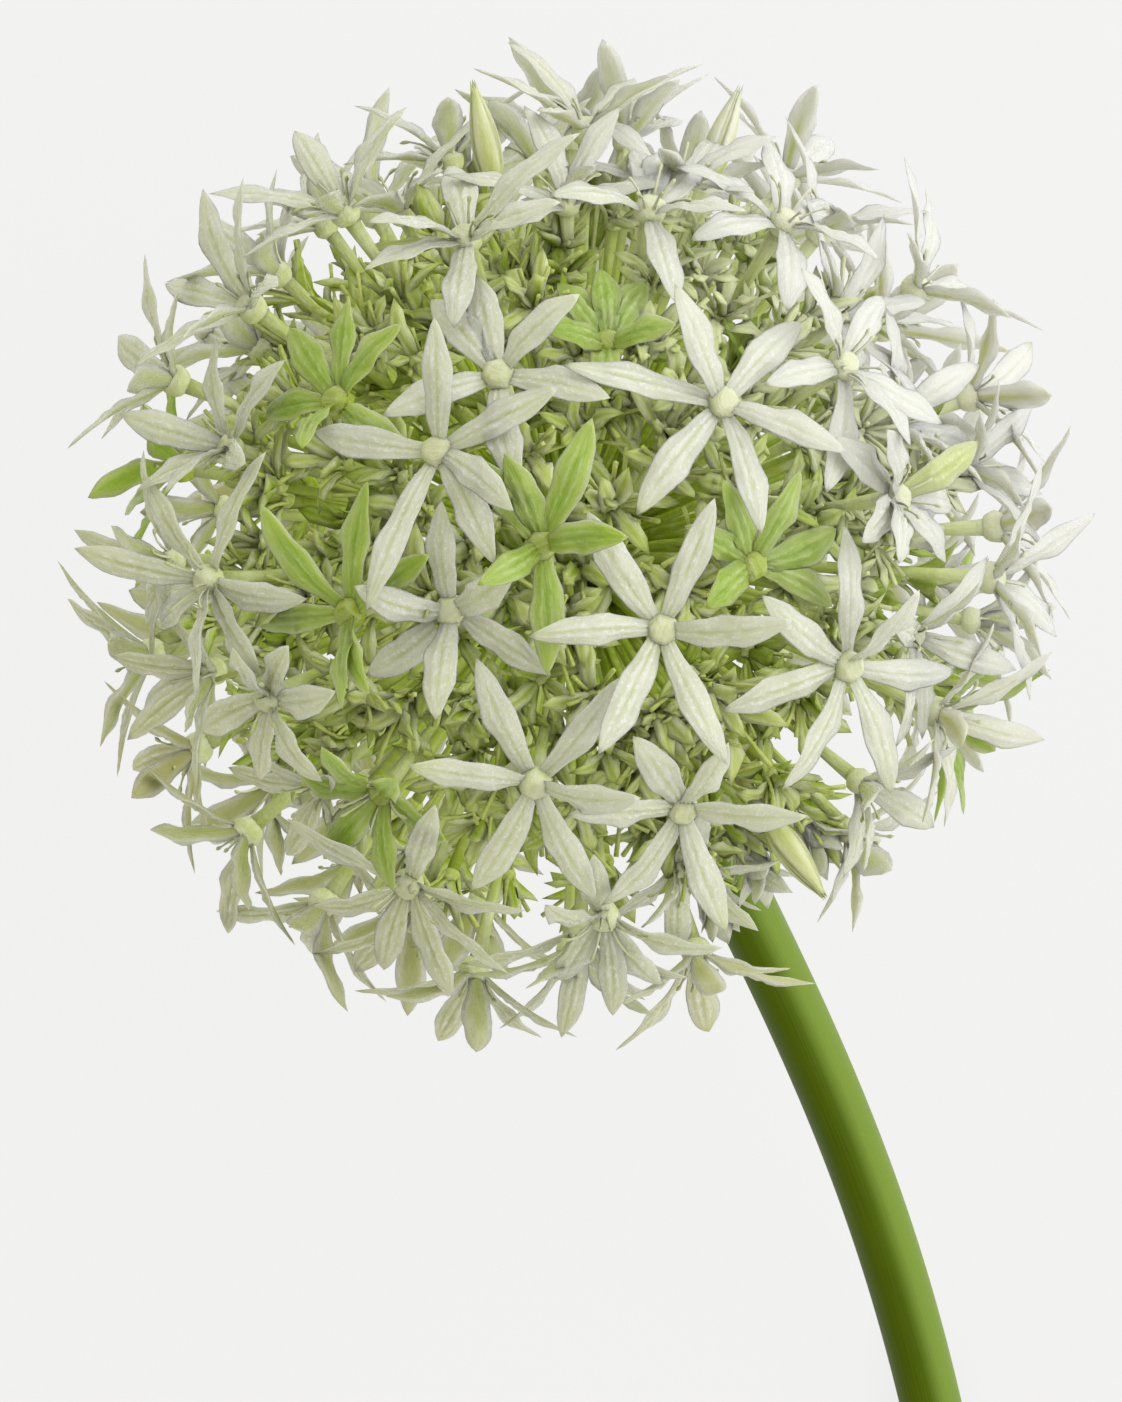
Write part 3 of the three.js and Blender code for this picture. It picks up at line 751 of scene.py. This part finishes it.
# Stem and receptacle
stemLook = {
    "radius": 3.6,
    "rows": 70,
    "around": 28,
    "ridgeHeight": 0.035,
    "rimShares": (0.55, 0.93),  # of the radius: on the flat end, and where its rim turns
    "rimLength": 0.12,
    "receptacleRadius": 6.0,
    "receptacleGrid": (20, 30),  # rings along it, and points around it
    "scars": 0.32,  # depth of the pits between the stalks
    "skin": ((0.076, 0.122, 0.0008, 1), (0.092, 0.146, 0.0015, 1)),  # between the streaks, and on them
    "cloud": (0.105, 0.165, 0.003, 1),
    "paintedLitSkin": (0.215, 0.325, 0.046, 1),  # painted light: the skin on the side towards the window is painted paler
    "cutColour": (0.34, 0.42, 0.10, 1),
    # painted light: the side of the stem that is painted paler
    "paintedLitSide": (0.95, 0.30, 0.0),
}


def stemMaterial(look):
    material = bpy.data.materials.new("stemSkin")
    material.use_nodes = True
    add, mix, sums, between = nodeTools(material)
    shader = material.node_tree.nodes["Principled BSDF"]
    spot = add("ShaderNodeAttribute", attribute_name="spot").outputs["Vector"]
    tone = add("ShaderNodeAttribute", attribute_name="tone").outputs["Color"]
    split = add("ShaderNodeSeparateColor", {"Color": tone})
    place = add("ShaderNodeTexCoord").outputs["Object"]
    # long thin streaks run with the stem, and wide clouds lie over them
    long = add("ShaderNodeVectorMath", {0: spot, 1: (9.0, 0.35, 9.0)}, operation="MULTIPLY").outputs[0]
    streaks = add("ShaderNodeTexNoise", {"Vector": long, "Scale": 2.2, "Detail": 3.0}).outputs[0]
    clouds = add("ShaderNodeTexNoise", {"Vector": place, "Scale": 90.0, "Detail": 3.0}).outputs[0]
    dots = add("ShaderNodeTexNoise", {"Vector": place, "Scale": 1400.0, "Detail": 2.0}).outputs[0]
    green = mix(between(streaks, 0.35, 0.65, 0.0, 1.0), *look["skin"])
    cloudy = mix(between(clouds, 0.35, 0.7, 0.0, 0.4), green, look["cloud"])
    # painted light: the skin is mixed to a paler green on the side towards the window
    paintedLitShare = mix(split.outputs[1], cloudy, look["paintedLitSkin"])
    pale = mix(split.outputs[0], paintedLitShare, look["cutColour"])
    material.node_tree.links.new(pale, shader.inputs["Base Color"])
    rough = between(clouds, 0.3, 0.7, 0.34, 0.44)
    material.node_tree.links.new(rough, shader.inputs["Roughness"])
    height = sums("ADD", streaks, sums("MULTIPLY", dots, 0.3))
    bump = add("ShaderNodeBump", {"Height": height, "Distance": 0.12 * mm, "Strength": 0.5})
    material.node_tree.links.new(bump.outputs[0], shader.inputs["Normal"])
    shader.inputs["IOR"].default_value = 1.45
    shader.inputs["Specular IOR Level"].default_value = 0.12
    return material


stemSkin = stemMaterial(stemLook)


def stemLine(rows):
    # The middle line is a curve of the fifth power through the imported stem's corners, measured
    # along the line between its two ends
    corners = readNode("stem")[0]
    middle = corners.mean(axis=0)
    spread = np.linalg.svd(corners - middle, full_matrices=False)[2][0]
    direction = spread * np.sign(spread @ (corners[np.argmin(corners[:, 1])] - heart))
    s = (corners - middle) @ direction
    scale = np.abs(s).max()
    curve = np.polynomial.polynomial.polyfit(s / scale, corners, 5)
    slope = np.polynomial.polynomial.polyder(curve)

    def tilt(end):
        tangent = unit(np.polynomial.polynomial.polyval(end, slope))
        return stemLook["radius"] / scale * math.sqrt(max(0, 1 - (tangent @ direction) ** 2))

    first, last = s.min() / scale, s.max() / scale
    along = np.linspace(first + tilt(first), last - tilt(last), rows)
    return np.polynomial.polynomial.polyval(along, curve).T


def makeStem(look):
    # A round section with faint lengthwise ridges carried along the stem's middle line. Both ends
    # are cut flat, with a rounded rim
    centres = stemLine(look["rows"])
    centres = np.vstack([centres[:1], centres[:1], centres, centres[-1:], centres[-1:]])
    tangent = np.gradient(centres[2:-2], axis=0)
    tangent = unit(np.vstack([tangent[:1], tangent[:1], tangent, tangent[-1:], tangent[-1:]]))
    side = unit(np.cross(tangent, up))
    other = np.cross(side, tangent)
    theta = (np.arange(look["around"]) * 2 * math.pi / look["around"])[None, :]
    radii = np.full(len(centres), look["radius"])
    flat, rim = look["rimShares"]
    radii[[0, -1]] *= flat
    radii[[1, -2]] *= rim
    centres[2] += tangent[2] * look["rimLength"]
    centres[-3] -= tangent[-3] * look["rimLength"]
    wide = radii[:, None] + look["ridgeHeight"] * np.sin(theta * 9) * np.sin(theta * 2 + 1)
    outward = np.cos(theta)[..., None] * side[:, None] + np.sin(theta)[..., None] * other[:, None]
    rings = centres[:, None] + wide[..., None] * outward
    steps = np.linalg.norm(np.diff(centres, axis=0), axis=1)
    along = np.concatenate([[0], np.cumsum(steps)])[:, None]
    paleEnd = np.clip((along - along[-1] + 1) * 1.5, 0, 0.8)
    # painted light: the side that stands towards the light is painted paler, by a smooth step, 3 x^2 - 2
    # x^3, over half of the radius
    toLight = outward @ unit(np.array(look["paintedLitSide"]))
    step = np.clip((toLight + 0.10) / 0.6, 0, 1)
    paintedLitShare = step * step * (3 - 2 * step)
    shells = makeShells(
        rings[None], centres[:1], centres[-1:], spotOf(np.cos(theta), along / 10, np.sin(theta))[None],
        toneOf(paleEnd, paintedLitShare, np.zeros_like(theta))[None],
    )
    addPiece("stem_finish", [shells], stemSkin, ["stem"])


def makeReceptacle(look):
    # A ball that is a little flatter along the stem's line, its skin pitted by a product of sines
    # where the stalks stand
    rows, around = look["receptacleGrid"]
    neck = unit(np.array(stemLine(3)[0]) - heart)
    a = np.linspace(0, math.pi, rows + 2)[1:-1][:, None]
    theta = (np.arange(around) * 2 * math.pi / around)[None, :]
    across = unit(np.cross(neck, up))
    other = np.cross(across, neck)
    radius = look["receptacleRadius"] * (1 - 0.1 * np.cos(a) ** 2)
    pits = look["scars"] * np.sin(theta * 10) * np.sin(a * 11) * np.sin(a)
    wide = (radius + pits) * np.sin(a) ** 0.9
    depth = np.where(a < 1.2, 1.02, 1.0) * radius * np.cos(a)
    outward = np.cos(theta)[..., None] * across + np.sin(theta)[..., None] * other
    rings = heart + depth[..., None] * neck + wide[..., None] * outward
    rings = rings[::-1]
    ends = heart + np.array([-0.92, 0.92])[:, None] * look["receptacleRadius"] * neck
    shells = makeShells(
        rings[None], ends[:1], ends[1:], spotOf(np.cos(theta), a / math.pi * 3, np.sin(theta))[None],
        toneOf(0.8 + 0 * a, 0, np.zeros_like(theta))[None],
    )
    addPiece("receptacle_finish", [shells], heartFlesh, ["receptacle"])


makeStem(stemLook)
makeReceptacle(stemLook)
print("stem and receptacle built")

# The crowd of small florets inside
stalksFrom = 6.3  # millimetres from the ball's middle to every stalk's foot
innerLook = {
    "directions": 680,
    "turn": 0.9,
    "unsteady": 0.035,  # about how far a stalk leans from the even spread, in radians
    "clearOfStem": 20,  # degrees
    "clearOfStalks": 4.0,  # degrees from the stalk of a large floret
    "topFrom": 0.5,  # height on a ball of radius 1, and every one above it is built
    "sideShare": 0.4,  # and this share of those below it,
    "stemSideFrom": -0.3,  # or, past this y towards the stem,
    "stemSideShare": 0.2,  # this share
    "nearTop": (0.02, -0.06, 1.0),  # the topmost one stands here, over the deepest gap
    "reach": (30, 40),
    "petalLength": (5.0, 8.5),
    "opening": (5, 80),  # a petal's rise above the plane across its stalk, in degrees
    "unevenness": 0.5,  # how far a petal's bearing is from the even one, in radians
    "tipsClearOfFloor": 0.6,
    "hubsClearOfFloor": 7,
    "groups": 24,
    "ovaryRadius": 1.0,
    "stalkRadius": 0.42,
    "stalkGrid": (5, 5),
}
innerPetalLook = dict(
    petalLook, rows=4, upper=(-1, -0.4, 0, 0.4, 1), under=(0,), width=2.0, widest=0.6, foot=0.5,
    thickness=0.8, bow=0.7, ridge=0.2, rim=0.2, ruffle=0.5, hook=1.8, blunt=0.6, waves=0.3
)


def spreadDirections(count, turn):
    # even steps in height and golden-angle steps around, so that no two are close
    height = 1 - (2 * np.arange(count) + 1) / count
    around = np.arange(count) * math.pi * (3 - math.sqrt(5)) + turn
    flat = np.sqrt(1 - height**2)
    return np.stack([flat * np.cos(around), flat * np.sin(around), height], axis=-1)


def threadShells(hubs, axes):
    # Five short threads stand around each ovary. Each leans out on an arc and ends blunt
    threads = 5
    count = len(hubs) * threads
    chance = rng.random((count, 3))
    hub, axis = np.repeat(hubs, threads, axis=0), np.repeat(axes, threads, axis=0)
    across, other = acrossOf(axis)
    turn = (np.arange(count) * 2 * math.pi / threads + chance[:, 0])[:, None]
    outward = np.cos(turn) * across + np.sin(turn) * other
    t = np.linspace(0, 1, 4)[None, :, None]
    length = 3.0 + 2.5 * chance[:, 1][:, None, None]
    lean = 0.3 + 0.9 * chance[:, 2][:, None, None]
    out = 0.7 + length * lean * t**1.5
    centres = hub[:, None] + out * outward[:, None] + length * t * axis[:, None]
    radii = np.broadcast_to(np.array([0.3, 0.26, 0.24, 0.3]), (count, 4))
    green = np.broadcast_to(np.array([0.3, 0.15, 0.05, 0.0]), (count, 4))
    return tubeShells(centres, radii, np.cross(outward, axis), 4, green)


def spreadTips(hubs, axes, look, halfOpen=0):
    # Six petals around each stalk, at even bearings give or take a little. Each rises by its own
    # angle over the plane across the stalk. The last florets, as many as halfOpen says, have
    # shorter petals that rise more steeply
    count = len(hubs)
    chance = rng.random((count, 6, 3))
    across, other = acrossOf(axes)
    even = np.arange(6)[None] * math.pi / 3 + rng.random((count, 1)) * 6
    turn = (even + look["unevenness"] * chance[..., 0])[..., None]
    flattest, steepest = look["opening"]
    rise = np.radians(flattest + (steepest - flattest) * chance[..., 1])[..., None]
    shortest, longest = look["petalLength"]
    length = (shortest + (longest - shortest) * chance[..., 2])[..., None]
    if halfOpen:
        least, more = look["halfOpenRise"]
        rise[-halfOpen:] = least + more * chance[-halfOpen:, :, 1:2]
        length[-halfOpen:] *= look["halfOpenShare"]
    outward = np.cos(turn) * across[:, None] + np.sin(turn) * other[:, None]
    tips = hubs[:, None] + length * (np.cos(rise) * outward + np.sin(rise) * axes[:, None])
    tips[..., 2] = np.maximum(tips[..., 2], look["tipsClearOfFloor"])
    return tips


def aboveFloor(axes, reach, clear):
    # how far a stalk may reach before its end comes nearer to the floor than clear
    deepest = (heart[2] - clear) / np.maximum(-axes[:, 2], 1e-3)
    return np.minimum(reach, np.where(axes[:, 2] < 0, deepest, 99))


def makeInnerFlorets(look):
    axes = spreadDirections(look["directions"], look["turn"])
    axes = unit(axes + rng.normal(0, look["unsteady"], axes.shape))
    large = np.array([f["axis"] for f in florets])
    free = axes @ stemDirection < math.cos(math.radians(look["clearOfStem"]))
    free &= (axes @ large.T).max(axis=1) < math.cos(math.radians(look["clearOfStalks"]))
    # around the sides and below they stand further apart, most of all on the stem's side
    stemSide = axes[:, 1] < look["stemSideFrom"]
    share = np.where(stemSide, look["stemSideShare"], look["sideShare"])
    free &= rng.random(len(axes)) < np.where(axes[:, 2] > look["topFrom"], 1.0, share)
    axes = axes[free]
    axes[np.argmax(axes[:, 2])] = unit(np.array(look["nearTop"]))
    count = len(axes)
    low, high = look["reach"]
    reach = low + (high - low) * rng.random(count) ** 0.7
    reach = aboveFloor(axes, reach, look["hubsClearOfFloor"])
    hubs = heart + axes * reach[:, None]
    feet = heart + axes * stalksFrom
    tips = spreadTips(hubs, axes, look)
    # the deeper a floret stands, the greener and darker it is: partly its own green, partly painted shade
    # in the depths between the florets
    depth = (high - reach) / (high - low)
    greenness = np.clip(0.02 + 0.75 * depth + rng.normal(0, 0.15, count), 0, 0.9)
    # neighbours share a piece: the florets are sorted by bearing, and the lower half comes first
    order = np.argsort(np.arctan2(axes[:, 1], axes[:, 0]) + 0.6 * np.sign(axes[:, 2]) * math.pi * 2)
    for number, members in enumerate(np.array_split(order, look["groups"])):
        hub = np.repeat(hubs[members], 6, axis=0)
        axis = np.repeat(axes[members], 6, axis=0)
        every = np.repeat(greenness[members], 6)[:, None, None]
        tones = {"all": every, "under": 0.5, "foot": 0.7, "furrow": 0.15, "tip": 0.1, "patch": 0.4}
        shells = [petalShells(hub, axis, tips[members].reshape(-1, 3), innerPetalLook, tones)]
        shells.append(ovaryShells(hubs[members], axes[members], look["ovaryRadius"]))
        shells.append(threadShells(hubs[members], axes[members]))
        shells.append(stalkShells(feet[members], hubs[members], axes[members], look))
        addPiece(f"inner_florets_{number + 1:02d}", shells, innerFlesh)
    return count


print("small florets inside:", makeInnerFlorets(innerLook))

# Florets behind the first ones, around the rim and below
rimLook = {
    "directions": 700,
    "turn": 0.3,
    "count": 60,
    "fromTop": 55,  # degrees from straight up
    "clearOfStem": 38,
    # three more stand half open over the stem's top
    "atStem": ((18.3, -31.8, 12), (14.0, -34.0, 6), (24.5, -29.5, 8)),
    "atStemReach": 37,
    "reach": (40, 45),
    "petalLength": (11, 14),
    "opening": (5, 50),
    "unevenness": 0.3,
    "halfOpenRise": (1.0, 0.35),  # in radians: the least, and how much more it may be
    "halfOpenShare": 0.72,  # of an open petal's length
    "tipsClearOfFloor": 0.4,
    "hubsClearOfFloor": 4,
    "groups": 16,
    "ovaryRadius": 1.5,
    "stalkRadius": 0.48,
    "stalkGrid": (6, 6),
}
rimPetalLook = dict(petalLook, rows=9, width=3.3)


def makeRimFlorets(look):
    large = np.array([f["axis"] for f in florets])
    axes = spreadDirections(look["directions"], look["turn"])
    free = axes @ stemDirection < math.cos(math.radians(look["clearOfStem"]))
    free &= axes[:, 2] < math.cos(math.radians(look["fromTop"]))
    axes = axes[free]
    # each new one takes the direction that is furthest from all florets before it
    chosen = []
    nearest = (axes @ large.T).max(axis=1)
    for _ in range(look["count"]):
        best = int(np.argmin(nearest))
        chosen.append(best)
        nearest = np.maximum(nearest, axes @ axes[best])
    extra = len(look["atStem"])
    axes = np.vstack([axes[chosen], unit(np.array(look["atStem"]))])
    count = len(axes)
    low, high = look["reach"]
    reach = low + (high - low) * rng.random(count)
    reach[-extra:] = look["atStemReach"]
    hubs = heart + axes * aboveFloor(axes, reach, look["hubsClearOfFloor"])[:, None]
    feet = heart + axes * stalksFrom
    tips = spreadTips(hubs, axes, look, extra)
    order = np.argsort(np.arctan2(axes[:, 1], axes[:, 0]))
    for number, members in enumerate(np.array_split(order, look["groups"])):
        hub = np.repeat(hubs[members], 6, axis=0)
        axis = np.repeat(axes[members], 6, axis=0)
        ends = tips[members].reshape(-1, 3)
        petals = petalShells(hub, axis, ends, rimPetalLook, petalGreens["petal_white"])
        addPiece(f"rim_petals_{number + 1:02d}", [petals], whitePetal)
        parts = [ovaryShells(hubs[members], axes[members], look["ovaryRadius"])]
        parts.append(stalkShells(feet[members], hubs[members], axes[members], look))
        for m in members:
            parts.append(stamenShells(hubs[m], axes[m], heartLook))
        addPiece(f"rim_hearts_{number + 1:02d}", parts, heartFlesh)
    return count


print("florets behind:", makeRimFlorets(rimLook))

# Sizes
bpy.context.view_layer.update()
faces = sum(len(o.data.loops) - 2 * len(o.data.polygons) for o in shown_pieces() if o.type == "MESH")
print("triangles:", faces)
